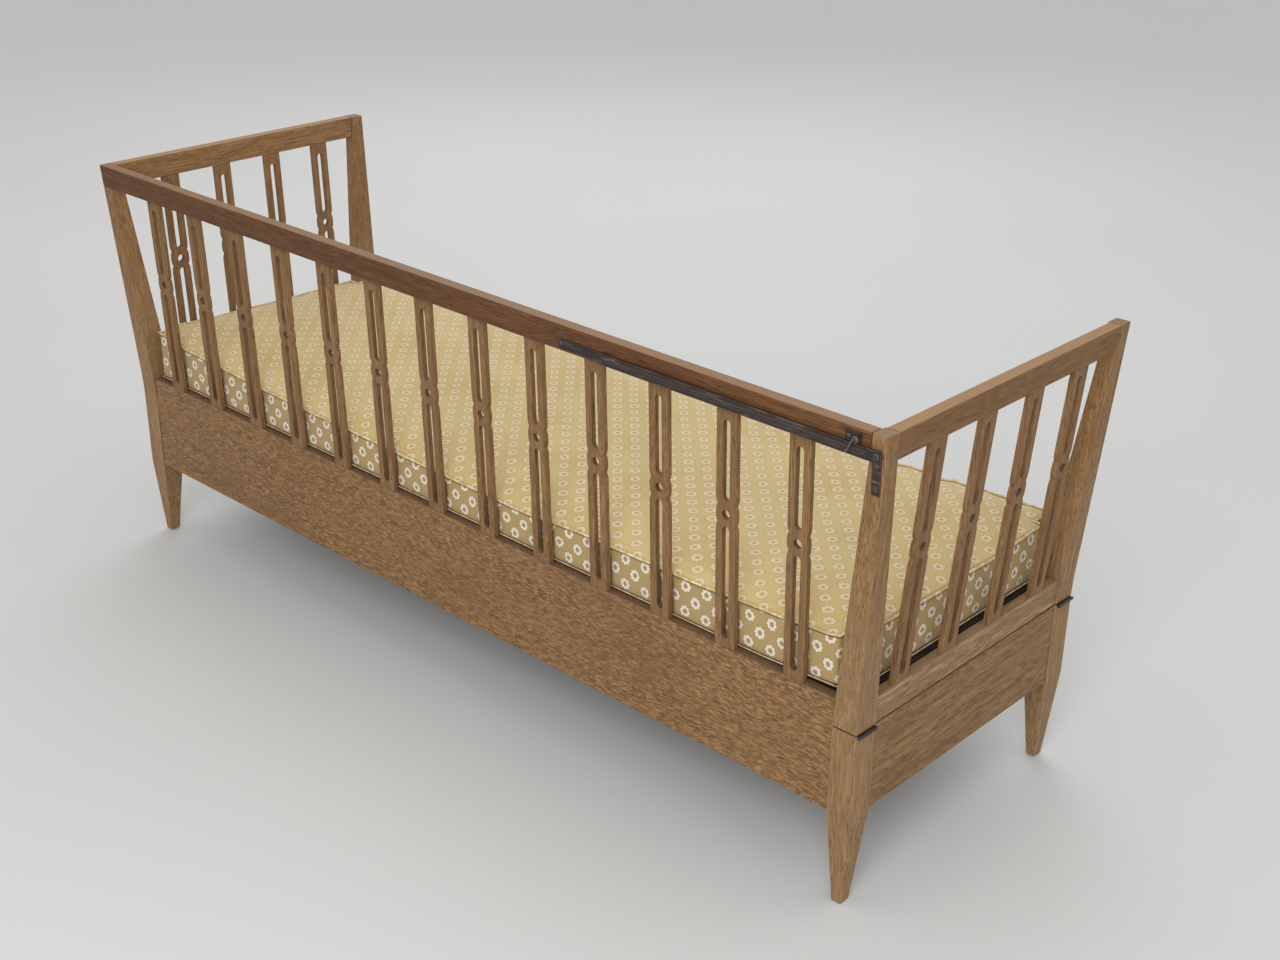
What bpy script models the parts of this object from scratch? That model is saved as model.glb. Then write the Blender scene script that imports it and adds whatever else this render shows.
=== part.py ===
"""Oak daybed with pierced splats, whose right end gallery folds down outwards.

Metres, +Z up. +X points to the folding end, -Y to the long back gallery and +Y
to the open front. The bed stands on its feet, and the origin is on the floor
under the middle of its bounding box.
"""

import math

import bmesh
import bpy
from mathutils import Vector

# Overall sizes, over the outer faces of the legs and the top of the rails.
BASE_LENGTH = 1.940
BASE_DEPTH = 0.625
HEIGHT = 0.838
END_LEAN = 0.031
BACK_LEAN = 0.026
FRONT_LEAN = 0.017

# Heights.
SPLIT_HEIGHT = 0.327
SPLIT_GAP = 0.0033
KINK_HEIGHT = 0.350
KINK_SOFTNESS = 0.028
APRON_BOTTOM = 0.171
APRON_TOP = 0.3745
RAIL_BOTTOM = 0.793

# Timber sections.
LEG_WIDTH = 0.046
LEG_DEPTH = 0.050
POST_TOP_WIDTH = 0.026
POST_TOP_DEPTH = 0.029
FOOT_WIDTH = 0.018
FOOT_DEPTH = 0.022
FOOT_INSET_X = 0.0135
FOOT_INSET_Y = 0.0105
APRON_THICKNESS = 0.020
APRON_RECESS = 0.0025
RAIL_THICKNESS = 0.023
EASED_EDGE = 0.0015

# Clearance between two touching pieces, and at the end of the back rail that
# the folding post swings away from.
GAP = 0.0003
FOLD_GAP = 0.0008

# Splats.
SPLAT_WIDTH = 0.040
SPLAT_THICKNESS = 0.009
SPLAT_INSET = 0.0012
BACK_SPLATS = 13
BACK_SPLAT_PITCH = 0.1397
BACK_SPLAT_MIDDLE = 0.0036
BACK_SPLAT_TOP_INSET = 0.0117
FIXED_PATTERN_SCALE = 0.98
END_SPLATS = 4
END_SPLAT_PITCH = 0.1315
END_SPLAT_MIDDLE = -0.0032
LEFT_SPLAT_PITCH = 0.1305
LEFT_SPLAT_MIDDLE = 0.0072
LEFT_SPLAT_INSET = 0.0027
LEFT_SPLAT_TOP_INSET = 0.0132
NODE_HEIGHT = 0.6155
NODE_HALF = 0.0155
NOTCH_DEPTH = 0.0036
NOTCH_EASE = 0.014
SLOT_WIDTH = 0.014
UPPER_SLOT = (0.639, 0.779)
LOWER_SLOT = (0.3895, 0.5945)
HOLE_RADIUS = 0.008
ROUND_STEPS = 6

# Hinges of the folding end.
HINGE_LENGTH = 0.045
BARREL_RADIUS = 0.003
PIN_RADIUS = 0.0012
LEAF_THICKNESS = 0.0012
LEAF_WIDTH = 0.038
HINGE_DROP = 0.002
BARREL_SIDES = 16

# Telescopic stay on the outside of the back rail.
STAY_HEIGHT = 0.8065
STAY_PIVOT_X = 0.365
STAY_EYE_X = 0.987
STRIP_HALF = 0.0083
STRIP_THICKNESS = 0.0022
STRIP_END_X = 0.961
BAR_HALF = 0.0093
BAR_THICKNESS = 0.0035
BAR_START_X = 0.459
BAR_CLEARANCE = 0.0012
RIDGE_HALF = 0.0035
RIDGE_RISE = 0.0012
KEEPER_LENGTH = 0.012
KEEPER_THICKNESS = 0.002
BRACKET_WIDTH = 0.0145
BRACKET_THICKNESS = 0.002
BRACKET_BOTTOM = 0.7437
BRACKET_TOP = 0.808
BRACKET_OFFSET = 0.002

# Catch plate and wire hook above the stay.
CATCH_MIDDLE_X = 0.9439
CATCH_HEIGHT = 0.8245
CATCH_HALF_LENGTH = 0.0143
CATCH_HALF_HEIGHT = 0.0071
CATCH_THICKNESS = 0.002
HOOK_EYE_X = 0.9533
HOOK_EYE_HEIGHT = 0.8235
HOOK_EYE_RADIUS = 0.0039
HOOK_WIRE = 0.0013
WIRE_SIDES = 8
HOOK_STUD = 0.002
HOOK_STUD_HEAD = 0.0036
HOOK_LENGTH = 0.0235
HOOK_CURL = 0.0018
HOOK_DIRECTION = math.radians(246)

# Bed base and mattress.
LEDGER_WIDTH = 0.020
LEDGER_HEIGHT = 0.027
LEDGER_END_GAP = 0.010
BASE_BOARD_THICKNESS = 0.016
BASE_BOARD_GAP = 0.0025
MATTRESS_LEFT = -0.945
MATTRESS_RIGHT = 0.938
MATTRESS_BACK = -0.2972
MATTRESS_FRONT = 0.312
MATTRESS_BOTTOM = 0.3757
MATTRESS_TOP = 0.462
MATTRESS_EDGE = 0.010
POST_NOTCH_X = 0.908
POST_NOTCH_BACK = -0.252
POST_NOTCH_FRONT = 0.246

HALF_LENGTH = BASE_LENGTH / 2
HALF_DEPTH = BASE_DEPTH / 2
HINGE_X = HALF_LENGTH + GAP + BARREL_RADIUS
HINGE_HEIGHT = SPLIT_HEIGHT - HINGE_DROP
UPPER_FLOOR = SPLIT_HEIGHT + SPLIT_GAP / 2
LOWER_CEILING = SPLIT_HEIGHT - SPLIT_GAP / 2

# ---------------------------------------------------------------- profiles


def soft_rise(z):
    """Height above the kink, with the kink itself rounded off."""
    over = z - KINK_HEIGHT
    if over <= -KINK_SOFTNESS:
        return 0.0
    if over >= KINK_SOFTNESS:
        return over
    return (over + KINK_SOFTNESS) ** 2 / (4 * KINK_SOFTNESS)


def lean_share(z):
    """0 at the base and 1 at the top of the galleries."""
    return soft_rise(z) / (HEIGHT - KINK_HEIGHT)


def foot_share(z):
    """1 at the floor and 0 from the bottom of the aprons up."""
    return max(0.0, 1 - z / APRON_BOTTOM)


def outer_x(z):
    """Outer face of the right-hand posts; the left-hand ones mirror it."""
    return HALF_LENGTH + END_LEAN * lean_share(z) - FOOT_INSET_X * foot_share(z)


def back_y(z):
    """Outer face of the back posts and the back rail."""
    return -HALF_DEPTH - BACK_LEAN * lean_share(z) + FOOT_INSET_Y * foot_share(z)


def front_y(z):
    """Outer face of the front posts."""
    return HALF_DEPTH + FRONT_LEAN * lean_share(z) - FOOT_INSET_Y * foot_share(z)


def post_size(z):
    """Width in X and depth in Y of a post at this height."""
    lean, foot = lean_share(z), foot_share(z)
    width = LEG_WIDTH + (POST_TOP_WIDTH - LEG_WIDTH) * lean + (FOOT_WIDTH - LEG_WIDTH) * foot
    depth = LEG_DEPTH + (POST_TOP_DEPTH - LEG_DEPTH) * lean + (FOOT_DEPTH - LEG_DEPTH) * foot
    return width, depth


def inner_x(z):
    """Inner face of the right-hand posts."""
    return outer_x(z) - post_size(z)[0]


def arc(centre, radius, start, end, steps):
    """Points along an arc, both ends included, angles in degrees."""
    points = []
    for step in range(steps + 1):
        angle = math.radians(start + (end - start) * step / steps)
        points.append((centre[0] + radius * math.cos(angle), centre[1] + radius * math.sin(angle)))
    return points


def slot_outline(bottom, top):
    """A slot with round ends, about u = 0."""
    radius = SLOT_WIDTH / 2
    upper = arc((0, top - radius), radius, 0, 180, ROUND_STEPS)
    lower = arc((0, bottom + radius), radius, 180, 360, ROUND_STEPS)
    return upper + lower


def splat_edge(bottom, top, node):
    """The +u edge of a splat from the bottom up, with a bulge between two notches."""
    half = SPLAT_WIDTH / 2
    low_notch, high_notch = node - NODE_HALF, node + NODE_HALF
    shares = [step / 3 for step in range(3)]
    edge = [(half, bottom)]
    for share in shares:
        edge.append((half - NOTCH_DEPTH * share**2, low_notch - NOTCH_EASE * (1 - share)))
    for step in range(ROUND_STEPS + 1):
        angle = math.pi * step / ROUND_STEPS
        bulge = NOTCH_DEPTH * math.sin(angle)
        edge.append((half - NOTCH_DEPTH + bulge, node - NODE_HALF * math.cos(angle)))
    for share in reversed(shares):
        edge.append((half - NOTCH_DEPTH * share**2, high_notch + NOTCH_EASE * (1 - share)))
    edge.append((half, top))
    return edge


def splat_outline(bottom, top, node):
    edge = splat_edge(bottom, top, node)
    return edge + [(-u, z) for u, z in reversed(edge)]


# ------------------------------------------------------------- mesh makers


def finish(name, mesh_maker, material, smooth_angle=None):
    """Turns a bmesh into a named object with its material, facing outwards."""
    bmesh.ops.recalc_face_normals(mesh_maker, faces=mesh_maker.faces)
    if mesh_maker.calc_volume(signed=True) < 0:
        bmesh.ops.reverse_faces(mesh_maker, faces=mesh_maker.faces)
    mesh = bpy.data.meshes.new(name)
    mesh_maker.to_mesh(mesh)
    mesh_maker.free()
    mesh.materials.append(material)
    if smooth_angle is not None:
        mesh.shade_smooth()
        mesh.set_sharp_from_angle(angle=math.radians(smooth_angle))
    made = bpy.data.objects.new(name, mesh)
    bpy.context.scene.collection.objects.link(made)
    return made


def loft(name, rings, material, smooth_angle=None):
    """A closed solid through rings of points that have the same count."""
    maker = bmesh.new()
    rows = [[maker.verts.new(point) for point in ring] for ring in rings]
    for row, following in zip(rows, rows[1:]):
        for i, vertex in enumerate(row):
            j = (i + 1) % len(row)
            maker.faces.new((vertex, row[j], following[j], following[i]))
    maker.faces.new(rows[0])
    maker.faces.new(rows[-1])
    return finish(name, maker, material, smooth_angle)


def ease_edges(made, width=EASED_EDGE, segments=2):
    """Rounds off the long arrises, but not the soft kinks."""
    bevel = made.modifiers.new("eased edges", "BEVEL")
    bevel.width = width
    bevel.segments = segments
    bevel.limit_method = "ANGLE"
    bevel.angle_limit = math.radians(40)


def pierced_plate(name, outline, holes, place, thickness, material):
    """A plate with holes; place(u, v, w) gives the point at depth w in it."""
    maker = bmesh.new()
    for loop in [outline, *holes]:
        row = [maker.verts.new((u, v, 0)) for u, v in loop]
        for i, vertex in enumerate(row):
            maker.edges.new((vertex, row[(i + 1) % len(row)]))
    bmesh.ops.triangle_fill(maker, use_beauty=True, edges=maker.edges, normal=(0, 0, 1))
    grown = bmesh.ops.extrude_face_region(maker, geom=maker.faces[:])
    moved = [item for item in grown["geom"] if isinstance(item, bmesh.types.BMVert)]
    bmesh.ops.translate(maker, vec=(0, 0, thickness), verts=moved)
    for vertex in maker.verts:
        vertex.co = place(*vertex.co)
    return finish(name, maker, material)


def turned(name, profile, centre, material, sides=BARREL_SIDES):
    """A solid turned about a line along Y, from its (radius, y) profile."""
    rings = []
    for radius, y in profile:
        ring = []
        for side in range(sides):
            angle = 2 * math.pi * side / sides
            ring.append((centre[0] + radius * math.cos(angle), y, centre[1] + radius * math.sin(angle)))
        rings.append(ring)
    return loft(name, rings, material, smooth_angle=40)


def box(name, low, high, material):
    rings = []
    for x in (low[0], high[0]):
        ring = [(x, low[1], low[2]), (x, high[1], low[2]), (x, high[1], high[2]), (x, low[1], high[2])]
        rings.append(ring)
    return loft(name, rings, material)


def board(name, along, ends, outer, inward, thickness, span, material):
    """A straight board between two posts, whose faces may lean.

    ends are two functions of height, outer one more, and inward is the sign of
    the direction from the outer face to the inner one.
    """
    bottom, top = span
    rings = []
    for end in ends:
        ring = []
        for z, depth in ((bottom, 0), (top, 0), (top, thickness), (bottom, thickness)):
            across = outer(z) + inward * depth
            ring.append((end(z), across, z) if along == "X" else (across, end(z), z))
        rings.append(ring)
    made = loft(name, rings, material)
    ease_edges(made)
    return made


def helper(made):
    """Marks a shape that only adds to or cuts another one."""
    made.hide_render = True
    made.display_type = "WIRE"
    return made


def combine(made, other, operation):
    step = made.modifiers.new(operation.lower(), "BOOLEAN")
    step.operation = operation
    step.object = helper(other)


# --------------------------------------------------------------- materials


def principled(name, colour, roughness, metallic=0.0):
    material = bpy.data.materials.new(name)
    material.use_nodes = True
    shader = material.node_tree.nodes["Principled BSDF"]
    shader.inputs["Base Color"].default_value = (*colour, 1)
    shader.inputs["Roughness"].default_value = roughness
    shader.inputs["Metallic"].default_value = metallic
    return material


# ------------------------------------------------------------------ timber


def post_heights(bottom, top):
    """Heights of the rings of a post: its ends, its taper and its soft kink."""
    kink = [KINK_HEIGHT + KINK_SOFTNESS * share for share in (-1, -0.5, 0, 0.5, 1)]
    inside = [z for z in [APRON_BOTTOM, *kink] if bottom + 0.002 < z < top]
    return [bottom, *inside, top]


def post(name, side, face, bottom, top, material):
    """side is -1 for left and 1 for right, face is the back_y or front_y line."""
    rings = []
    for z in post_heights(bottom, top):
        width, depth = post_size(z)
        x_out, y_out = side * outer_x(z), face(z)
        x_in = x_out - side * width
        y_in = y_out + depth if y_out < 0 else y_out - depth
        rings.append([(x_out, y_out, z), (x_in, y_out, z), (x_in, y_in, z), (x_out, y_in, z)])
    made = loft(name, rings, material)
    ease_edges(made)
    return made


def posts_and_legs(oak):
    """The left back post stops under the back rail, which runs out over it."""
    post("post_left_back", -1, back_y, 0, RAIL_BOTTOM - GAP, oak)
    post("post_left_front", -1, front_y, 0, HEIGHT, oak)
    post("leg_right_back", 1, back_y, 0, LOWER_CEILING, oak)
    post("leg_right_front", 1, front_y, 0, LOWER_CEILING, oak)
    return [
        post("end_post_back", 1, back_y, UPPER_FLOOR, HEIGHT, oak),
        post("end_post_front", 1, front_y, UPPER_FLOOR, HEIGHT, oak),
    ]


def aprons(oak):
    run_x = HALF_LENGTH - LEG_WIDTH - GAP
    run_y = HALF_DEPTH - LEG_DEPTH - GAP
    ends_x = (lambda z: -run_x, lambda z: run_x)
    ends_y = (lambda z: -run_y, lambda z: run_y)
    face_x = HALF_LENGTH - APRON_RECESS
    face_y = HALF_DEPTH - APRON_RECESS
    side_span = (APRON_BOTTOM, APRON_TOP)
    end_span = (APRON_BOTTOM, LOWER_CEILING)
    board("apron_back", "X", ends_x, lambda z: -face_y, 1, APRON_THICKNESS, side_span, oak)
    board("apron_front", "X", ends_x, lambda z: face_y, -1, APRON_THICKNESS, side_span, oak)
    board("apron_left", "Y", ends_y, lambda z: -face_x, 1, APRON_THICKNESS, side_span, oak)
    board("apron_right", "Y", ends_y, lambda z: face_x, -1, APRON_THICKNESS, end_span, oak)
    bottom_rail_span = (UPPER_FLOOR, APRON_TOP)
    rail_face = lambda z: face_x
    return board("end_rail_bottom", "Y", ends_y, rail_face, -1, APRON_THICKNESS, bottom_rail_span, oak)


def back_end(z):
    return back_y(z) + post_size(z)[1] + GAP


def front_end(z):
    return front_y(z) - post_size(z)[1] - GAP


def top_rails(oak):
    span = (RAIL_BOTTOM, HEIGHT)
    back_ends = (lambda z: -outer_x(z), lambda z: inner_x(z) - FOLD_GAP)
    left_ends = (lambda z: back_y(z) + RAIL_THICKNESS + GAP, front_end)
    back = board("rail_back_top", "X", back_ends, back_y, 1, RAIL_THICKNESS, span, oak)
    board("rail_left_top", "Y", left_ends, lambda z: -outer_x(z), 1, RAIL_THICKNESS, span, oak)
    end = board("end_rail_top", "Y", (back_end, front_end), outer_x, -1, RAIL_THICKNESS, span, oak)
    return back, end


# ------------------------------------------------------------------ splats


def leaning_face(base, base_height, top, top_height):
    """A function of height for a flat face that leans between two points."""
    slope = (top - base) / (top_height - base_height)
    return lambda z: base + slope * (z - base_height)


def splat(name, place, pattern_scale, oak):
    """The scale draws the openings' heights in towards the foot of the splat."""
    bottom, top = APRON_TOP + GAP, RAIL_BOTTOM - GAP

    def height(z):
        return APRON_TOP + (z - APRON_TOP) * pattern_scale

    node = height(NODE_HEIGHT)
    holes = [slot_outline(height(low), height(high)) for low, high in (UPPER_SLOT, LOWER_SLOT)]
    holes.append(arc((0, node), HOLE_RADIUS, 0, 330, 11))
    return pierced_plate(name, splat_outline(bottom, top, node), holes, place, SPLAT_THICKNESS, oak)


def repeated(first, names, spots):
    """The first piece and copies of it that share its mesh."""
    made = [first]
    for name in names[1:]:
        copy = bpy.data.objects.new(name, first.data)
        bpy.context.scene.collection.objects.link(copy)
        made.append(copy)
    for piece, spot in zip(made, spots):
        piece.location = spot
    return made


def spread(count, pitch, middle):
    return [middle + pitch * (i - (count - 1) / 2) for i in range(count)]


def back_splats(oak):
    low = -(HALF_DEPTH - APRON_RECESS - SPLAT_INSET)
    face = leaning_face(low, APRON_TOP, back_y(RAIL_BOTTOM) + BACK_SPLAT_TOP_INSET, RAIL_BOTTOM)
    names = [f"splat_back_{i + 1:02d}" for i in range(BACK_SPLATS)]
    first = splat(names[0], lambda u, v, w: (u, face(v) + w, v), FIXED_PATTERN_SCALE, oak)
    spots = [(x, 0, 0) for x in spread(BACK_SPLATS, BACK_SPLAT_PITCH, BACK_SPLAT_MIDDLE)]
    return repeated(first, names, spots)


def left_splats(oak):
    low = HALF_LENGTH - APRON_RECESS - LEFT_SPLAT_INSET
    face = leaning_face(low, APRON_TOP, outer_x(RAIL_BOTTOM) - LEFT_SPLAT_TOP_INSET, RAIL_BOTTOM)
    names = [f"splat_left_{i + 1}" for i in range(END_SPLATS)]
    first = splat(names[0], lambda u, v, w: (w - face(v), u, v), FIXED_PATTERN_SCALE, oak)
    spots = [(0, y, 0) for y in spread(END_SPLATS, LEFT_SPLAT_PITCH, LEFT_SPLAT_MIDDLE)]
    return repeated(first, names, spots)


def end_splats(oak):
    low = HALF_LENGTH - APRON_RECESS - SPLAT_INSET
    face = leaning_face(low, APRON_TOP, outer_x(RAIL_BOTTOM) - SPLAT_INSET, RAIL_BOTTOM)
    names = [f"end_splat_{i + 1}" for i in range(END_SPLATS)]
    first = splat(names[0], lambda u, v, w: (face(v) - w, u, v), 1.0, oak)
    spots = [(0, y, 0) for y in spread(END_SPLATS, END_SPLAT_PITCH, END_SPLAT_MIDDLE)]
    return repeated(first, names, spots)


# ------------------------------------------------------------------ hinges


def barrel(name, low_y, high_y, steel):
    profile = [(BARREL_RADIUS, low_y), (BARREL_RADIUS, high_y)]
    return turned(name, profile, (HINGE_X, HINGE_HEIGHT), steel)


def hinge_leaf(name, floor, knuckles, middle_y, steel):
    """A leaf lying in the split, with its knuckles on the barrel outside."""
    half = HINGE_LENGTH / 2
    face = HALF_LENGTH - GAP
    low = (face - LEAF_WIDTH, middle_y - half, floor)
    high = (face, middle_y + half, floor + LEAF_THICKNESS)
    leaf = box(name, low, high, steel)
    for i, (low_y, high_y) in enumerate(knuckles):
        tab_low = (face - BARREL_RADIUS, low_y, floor)
        tab_high = (HINGE_X, high_y, floor + LEAF_THICKNESS)
        combine(leaf, box(f"{name}_tab_{i}", tab_low, tab_high, steel), "UNION")
        combine(leaf, barrel(f"{name}_knuckle_{i}", low_y, high_y, steel), "UNION")
    reach = half + BARREL_RADIUS
    bore = [(PIN_RADIUS + GAP, middle_y - reach), (PIN_RADIUS + GAP, middle_y + reach)]
    combine(leaf, turned(f"{name}_bore", bore, (HINGE_X, HINGE_HEIGHT), steel), "DIFFERENCE")
    return leaf


def hinge(name, middle_y, steel):
    """Lower leaf with two knuckles, upper leaf with one, and the pin."""
    half, third = HINGE_LENGTH / 2, HINGE_LENGTH / 6
    outer = [(middle_y - half, middle_y - third - GAP), (middle_y + third + GAP, middle_y + half)]
    middle = [(middle_y - third, middle_y + third)]
    lower = hinge_leaf(f"{name}_lower_leaf", LOWER_CEILING + GAP, outer, middle_y, steel)
    upper_floor = UPPER_FLOOR - GAP - LEAF_THICKNESS
    upper = hinge_leaf(f"{name}_upper_leaf", upper_floor, middle, middle_y, steel)
    pin_profile = [(PIN_RADIUS, middle_y - half), (PIN_RADIUS, middle_y + half)]
    pin = turned(f"{name}_pin", pin_profile, (HINGE_X, HINGE_HEIGHT), steel)
    return lower, upper, pin


def hinges(steel):
    uppers = []
    for name, side in (("hinge_back", -1), ("hinge_front", 1)):
        middle_y = side * (HALF_DEPTH - LEG_DEPTH / 2)
        uppers.append(hinge(name, middle_y, steel)[1])
    return uppers


# -------------------------------------------------------------------- stay


def flat_bar_outline(left, right, half, round_left):
    """A bar on the stay's height with a round right end about x = right."""
    outline = arc((right, STAY_HEIGHT), half, -90, 90, 2 * ROUND_STEPS)
    if round_left:
        return outline + arc((left, STAY_HEIGHT), half, 90, 270, 2 * ROUND_STEPS)
    return outline + [(left, STAY_HEIGHT + half), (left, STAY_HEIGHT - half)]


def round_hole(x, z, radius):
    return arc((x, z), radius, 0, 330, 11)


def flat_plate(name, outline, holes, back, thickness, iron):
    """An upright plate whose back face is at y = back."""
    return pierced_plate(name, outline, holes, lambda u, v, w: (u, back - w, v), thickness, iron)


def stay_layers():
    """Back faces of the strip and of the bar, working out from the rail."""
    strip_back = back_y(STAY_HEIGHT + STRIP_HALF) - GAP
    bar_back = strip_back - STRIP_THICKNESS - BAR_CLEARANCE
    return strip_back, bar_back


def stay_strip(iron):
    back = stay_layers()[0]
    outline = flat_bar_outline(STAY_PIVOT_X, STRIP_END_X, STRIP_HALF, round_left=True)
    holes = [round_hole(STAY_PIVOT_X, STAY_HEIGHT, HOOK_STUD + 2 * GAP)]
    return flat_plate("stay_strip", outline, holes, back, STRIP_THICKNESS, iron)


def stay_ridge(front, iron):
    """The raised rib along the bar, narrower at its crest than at its foot."""
    foot, crest = front + GAP, front - RIDGE_RISE
    section = ((-1, foot), (-0.5, crest), (0.5, crest), (1, foot))
    rings = []
    for x in (BAR_START_X + KEEPER_LENGTH, STAY_EYE_X - 2 * BAR_HALF):
        rings.append([(x, y, STAY_HEIGHT + share * RIDGE_HALF) for share, y in section])
    return loft("stay_bar_ridge", rings, iron)


def keeper_lug(name, low_z, high_z, iron):
    """A lug that reaches back over one edge of the strip."""
    strip_back, bar_back = stay_layers()
    low = (BAR_START_X, bar_back - GAP, low_z)
    high = (BAR_START_X + KEEPER_LENGTH, strip_back - STRIP_THICKNESS / 4, high_z)
    return box(name, low, high, iron)


def stay_bar(iron):
    back = stay_layers()[1]
    outline = flat_bar_outline(BAR_START_X, STAY_EYE_X, BAR_HALF, round_left=False)
    holes = [round_hole(STAY_EYE_X, STAY_HEIGHT, HOOK_STUD + 2 * GAP)]
    bar = flat_plate("stay_bar", outline, holes, back, BAR_THICKNESS, iron)
    combine(bar, stay_ridge(back - BAR_THICKNESS, iron), "UNION")
    top_low = STAY_HEIGHT + STRIP_HALF + GAP
    bottom_high = STAY_HEIGHT - STRIP_HALF - GAP
    bottom_low = bottom_high - KEEPER_THICKNESS
    combine(bar, keeper_lug("stay_lug_top", top_low, top_low + KEEPER_THICKNESS, iron), "UNION")
    combine(bar, keeper_lug("stay_lug_bottom", bottom_low, bottom_high, iron), "UNION")
    return bar


def domed_stud(name, x, z, seat, depth, shank, head, iron):
    """A stud along Y: a domed head in front of y = seat, a shank behind it."""
    profile = [(shank, seat + depth), (shank, seat), (head, seat), (head * 0.85, seat - head * 0.25)]
    profile.append((head * 0.4, seat - head * 0.4))
    return turned(name, profile, (x, z), iron)


def stay_studs(iron, back_rail):
    """The pivot screw in the rail and the rivet in the eye of the bar."""
    strip_back, bar_back = stay_layers()
    screw_seat = strip_back - STRIP_THICKNESS - GAP
    screw_depth = 0.018
    screw_size = (screw_depth, HOOK_STUD, 0.0045)
    domed_stud("stay_pivot_screw", STAY_PIVOT_X, STAY_HEIGHT, screw_seat, *screw_size, iron)
    profile = [(HOOK_STUD + GAP, screw_seat), (HOOK_STUD + GAP, screw_seat + screw_depth + GAP)]
    hole = turned("pivot_screw_hole", profile, (STAY_PIVOT_X, STAY_HEIGHT), iron)
    combine(back_rail, hole, "DIFFERENCE")
    rivet_seat = bar_back - BAR_THICKNESS - GAP
    rivet_size = (BAR_THICKNESS, HOOK_STUD, 0.0055)
    return domed_stud("stay_rivet", STAY_EYE_X, STAY_HEIGHT, rivet_seat, *rivet_size, iron)


def stay_bracket(iron):
    """The plate on the folding post that carries the eye of the bar."""
    half = BRACKET_WIDTH / 2
    middle = STAY_EYE_X - BRACKET_OFFSET
    ends = (lambda z: middle - half, lambda z: middle + half)
    face = lambda z: back_y(z) - GAP
    rings = []
    for end in ends:
        ring = []
        for z, depth in ((BRACKET_BOTTOM, 0), (BRACKET_TOP, 0), (BRACKET_TOP, 1), (BRACKET_BOTTOM, 1)):
            ring.append((end(z), face(z) - depth * BRACKET_THICKNESS, z))
        rings.append(ring)
    return loft("stay_bracket", rings, iron)


# ------------------------------------------------------------------- catch


def catch_plate(iron):
    """A plate on the rail's leaning face, with the stud of the hook's eye."""
    angle = math.atan2(BACK_LEAN, HEIGHT - KINK_HEIGHT)
    low = (-CATCH_HALF_LENGTH, -CATCH_THICKNESS, -CATCH_HALF_HEIGHT)
    plate = box("catch_plate", low, (CATCH_HALF_LENGTH, 0, CATCH_HALF_HEIGHT), iron)
    plate.location = (CATCH_MIDDLE_X, back_y(CATCH_HEIGHT) - GAP, CATCH_HEIGHT)
    plate.rotation_euler.x = angle
    root = back_y(CATCH_HEIGHT) - CATCH_THICKNESS / 2
    head_back = hook_plane() - HOOK_WIRE - GAP
    profile = [(HOOK_STUD, root), (HOOK_STUD, head_back), (HOOK_STUD_HEAD, head_back)]
    profile.append((HOOK_STUD_HEAD * 0.7, head_back - HOOK_WIRE))
    combine(plate, turned("catch_stud", profile, (HOOK_EYE_X, HOOK_EYE_HEIGHT), iron), "UNION")
    return plate


def hook_plane():
    """The wire's middle plane, just clear of the ridge of the bar."""
    ridge_front = stay_layers()[1] - BAR_THICKNESS - RIDGE_RISE
    return ridge_front - 2 * GAP - HOOK_WIRE


def hook_path():
    """Round the stud, straight down over the bar, and a small curl at the tip."""
    way = math.degrees(HOOK_DIRECTION)
    eye = (HOOK_EYE_X, HOOK_EYE_HEIGHT)
    path = arc(eye, HOOK_EYE_RADIUS, way - 90 - 300, way - 90, 14)
    step = (math.cos(HOOK_DIRECTION), math.sin(HOOK_DIRECTION))
    tip = (path[-1][0] + HOOK_LENGTH * step[0], path[-1][1] + HOOK_LENGTH * step[1])
    curl_middle = (tip[0] + HOOK_CURL * step[1], tip[1] - HOOK_CURL * step[0])
    return path + arc(curl_middle, HOOK_CURL, way + 90, way - 60, 5)


def catch_hook(iron):
    """A round wire along the hook's path, with its origin in the eye's middle."""
    path = [Vector((x - HOOK_EYE_X, 0, z - HOOK_EYE_HEIGHT)) for x, z in hook_path()]
    rings = []
    for i, point in enumerate(path):
        ahead = path[min(i + 1, len(path) - 1)] - path[max(i - 1, 0)]
        sideways = ahead.cross(Vector((0, 1, 0))).normalized() * HOOK_WIRE
        ring = []
        for side in range(WIRE_SIDES):
            angle = 2 * math.pi * side / WIRE_SIDES
            outwards = Vector((0, HOOK_WIRE * math.sin(angle), 0))
            ring.append(point + sideways * math.cos(angle) + outwards)
        rings.append(ring)
    hook = loft("catch_hook", rings, iron, smooth_angle=50)
    hook.location = (HOOK_EYE_X, hook_plane(), HOOK_EYE_HEIGHT)
    return hook


# ------------------------------------------------------ base and mattress


def bed_base(pine):
    """Two ledgers inside the long aprons, and a board level with the aprons' tops."""
    run = HALF_LENGTH - LEG_WIDTH - LEDGER_END_GAP
    reach = HALF_DEPTH - APRON_RECESS - APRON_THICKNESS - GAP
    board_bottom = APRON_TOP - BASE_BOARD_THICKNESS
    ledger_top = board_bottom - GAP
    for name, side in (("ledger_back", -1), ("ledger_front", 1)):
        sides = sorted((side * reach, side * (reach - LEDGER_WIDTH)))
        low = (-run, sides[0], ledger_top - LEDGER_HEIGHT)
        box(name, low, (run, sides[1], ledger_top), pine)
    end = HALF_LENGTH - APRON_RECESS - APRON_THICKNESS - BASE_BOARD_GAP
    corner_x = HALF_LENGTH - LEG_WIDTH - BASE_BOARD_GAP
    corner_y = HALF_DEPTH - LEG_DEPTH - BASE_BOARD_GAP
    outline = cut_corners((-end, end), (-reach, reach), corner_x, (-corner_y, corner_y))
    rings = [[(x, y, z) for x, y in outline] for z in (board_bottom, APRON_TOP)]
    loft("base_board", rings, pine)


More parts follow.
